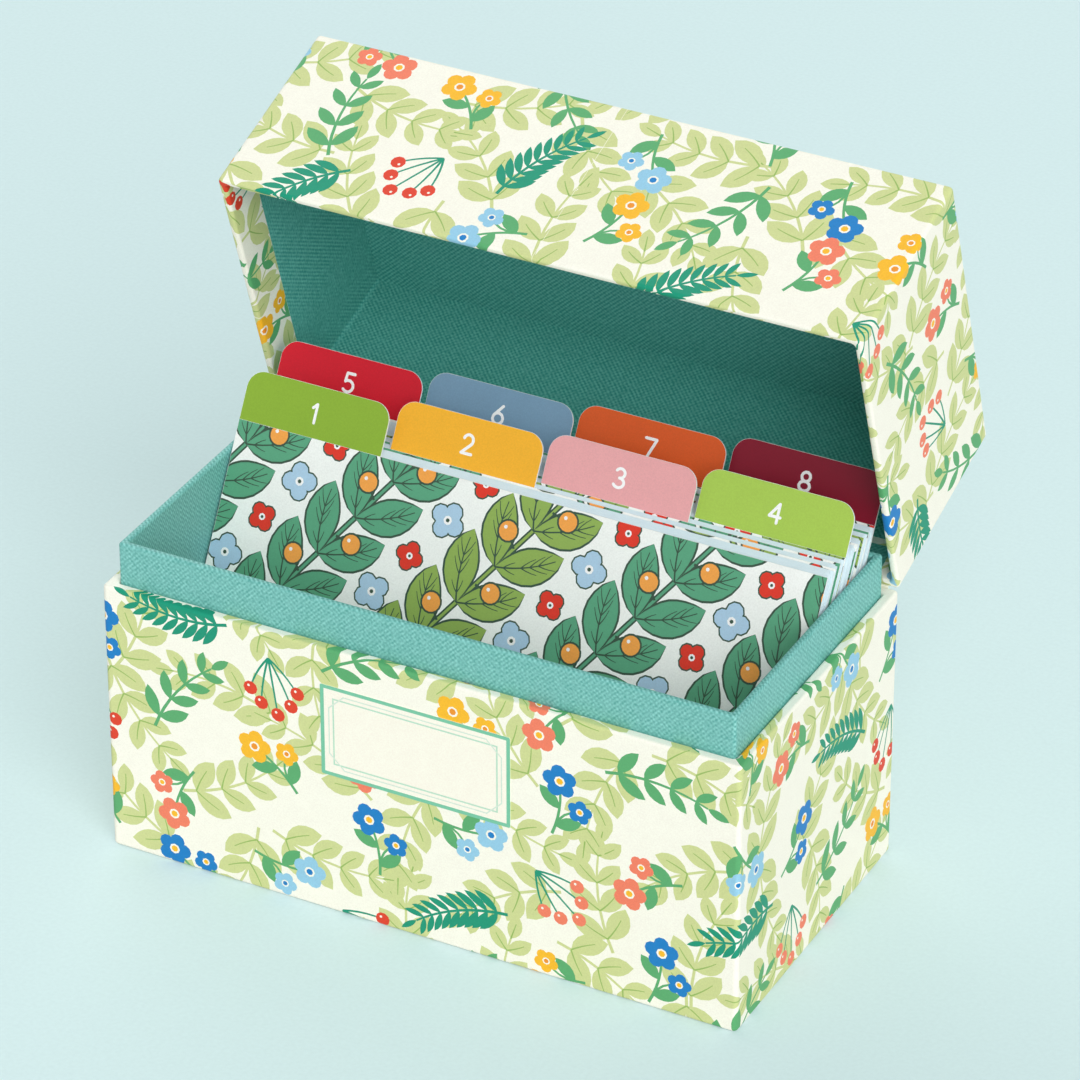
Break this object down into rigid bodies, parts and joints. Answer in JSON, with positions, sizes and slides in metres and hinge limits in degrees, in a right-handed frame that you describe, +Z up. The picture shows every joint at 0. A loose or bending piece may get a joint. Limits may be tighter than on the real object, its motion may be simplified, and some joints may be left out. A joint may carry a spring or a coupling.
{
  "type": "index card box",
  "caption": "Paper-covered card box with a hinged lid, a raised inner collar, tabbed dividers and loose cards that lift out.",
  "frame": {"origin": "centre of the underside of the base, on the surface the box stands on", "axes": "+X from left to right along the hinge line, +Y from the front to the hinge, +Z up; the lid is open at rest"},
  "size_m": [0.17, 0.136, 0.173],
  "materials": {
    "greyboard": "matte",
    "printed_paper": "matte",
    "teal_paper": "matte",
    "plain_paper": "matte",
    "brown_tape": "matte",
    "label_paper": "matte",
    "card_stock": "matte",
    "divider_stock": "satin"
  },
  "bodies": {
    "base": {"base_board": "greyboard", "base_wrap": "printed_paper", "base_corner_stays": "brown_tape", "base_bottom_sheet": "plain_paper", "floor_liner": "teal_paper", "front_label": "label_paper", "collar_board": "greyboard", "collar_wrap": "teal_paper", "hinge_strip": "printed_paper", "hinge_liner": "teal_paper"},
    "lid": {"lid_board": "greyboard", "lid_wrap": "printed_paper", "lid_corner_stays": "brown_tape", "lid_liner": "teal_paper"},
    "rear_cards": {"cards_8": "card_stock"},
    "divider_1_body": {"divider_1": "divider_stock"},
    "cards_1_pack": {"cards_1": "card_stock"},
    "divider_2_body": {"divider_2": "divider_stock"},
    "cards_2_pack": {"cards_2": "card_stock"},
    "divider_3_body": {"divider_3": "divider_stock"},
    "cards_3_pack": {"cards_3": "card_stock"},
    "divider_4_body": {"divider_4": "divider_stock"},
    "cards_4_pack": {"cards_4": "card_stock"},
    "divider_5_body": {"divider_5": "divider_stock"},
    "cards_5_pack": {"cards_5": "card_stock"},
    "divider_6_body": {"divider_6": "divider_stock"},
    "cards_6_pack": {"cards_6": "card_stock"},
    "divider_7_body": {"divider_7": "divider_stock"},
    "cards_7_pack": {"cards_7": "card_stock"},
    "divider_8_body": {"divider_8": "divider_stock"}
  },
  "joints": [
    {"name": "lid_hinge", "type": "hinge", "parent": "base", "child": "lid", "pos_m": [0, 0.043, 0.0751], "axis": [-1, 0, 0], "range_deg": [-71.8, 0], "deforming": ["hinge_strip", "hinge_liner"]},
    {"name": "stack_tilt", "type": "hinge", "parent": "base", "child": "rear_cards", "pos_m": [0, -0.0377, 0.0036], "axis": [1, 0, 0], "range_deg": [0, 3.5]},
    {"name": "divider_1_lift", "type": "slide", "parent": "rear_cards", "child": "divider_1_body", "axis": [0, 0.5001, 0.866], "range_m": [0, 0.071]},
    {"name": "cards_1_lift", "type": "slide", "parent": "rear_cards", "child": "cards_1_pack", "axis": [0, 0.5001, 0.866], "range_m": [0, 0.086]},
    {"name": "divider_2_lift", "type": "slide", "parent": "rear_cards", "child": "divider_2_body", "axis": [0, 0.5001, 0.866], "range_m": [0, 0.073]},
    {"name": "cards_2_lift", "type": "slide", "parent": "rear_cards", "child": "cards_2_pack", "axis": [0, 0.5001, 0.866], "range_m": [0, 0.085]},
    {"name": "divider_3_lift", "type": "slide", "parent": "rear_cards", "child": "divider_3_body", "axis": [0, 0.5001, 0.866], "range_m": [0, 0.072]},
    {"name": "cards_3_lift", "type": "slide", "parent": "rear_cards", "child": "cards_3_pack", "axis": [0, 0.5001, 0.866], "range_m": [0, 0.082]},
    {"name": "divider_4_lift", "type": "slide", "parent": "rear_cards", "child": "divider_4_body", "axis": [0, 0.5001, 0.866], "range_m": [0, 0.068]},
    {"name": "cards_4_lift", "type": "slide", "parent": "rear_cards", "child": "cards_4_pack", "axis": [0, 0.5001, 0.866], "range_m": [0, 0.073]},
    {"name": "divider_5_lift", "type": "slide", "parent": "rear_cards", "child": "divider_5_body", "axis": [0, 0.5001, 0.866], "range_m": [0, 0.059]},
    {"name": "cards_5_lift", "type": "slide", "parent": "rear_cards", "child": "cards_5_pack", "axis": [0, 0.5001, 0.866], "range_m": [0, 0.069]},
    {"name": "divider_6_lift", "type": "slide", "parent": "rear_cards", "child": "divider_6_body", "axis": [0, 0.5001, 0.866], "range_m": [0, 0.055]},
    {"name": "cards_6_lift", "type": "slide", "parent": "rear_cards", "child": "cards_6_pack", "axis": [0, 0.5001, 0.866], "range_m": [0, 0.065]},
    {"name": "divider_7_lift", "type": "slide", "parent": "rear_cards", "child": "divider_7_body", "axis": [0, 0.5001, 0.866], "range_m": [0, 0.052]},
    {"name": "cards_7_lift", "type": "slide", "parent": "rear_cards", "child": "cards_7_pack", "axis": [0, 0.5001, 0.866], "range_m": [0, 0.061]},
    {"name": "divider_8_lift", "type": "slide", "parent": "rear_cards", "child": "divider_8_body", "axis": [0, 0.5001, 0.866], "range_m": [0, 0.047]}
  ],
  "couplings": [
    {"joint": "stack_tilt", "follows": "lid_hinge", "ratio": -0.048747}
  ]
}
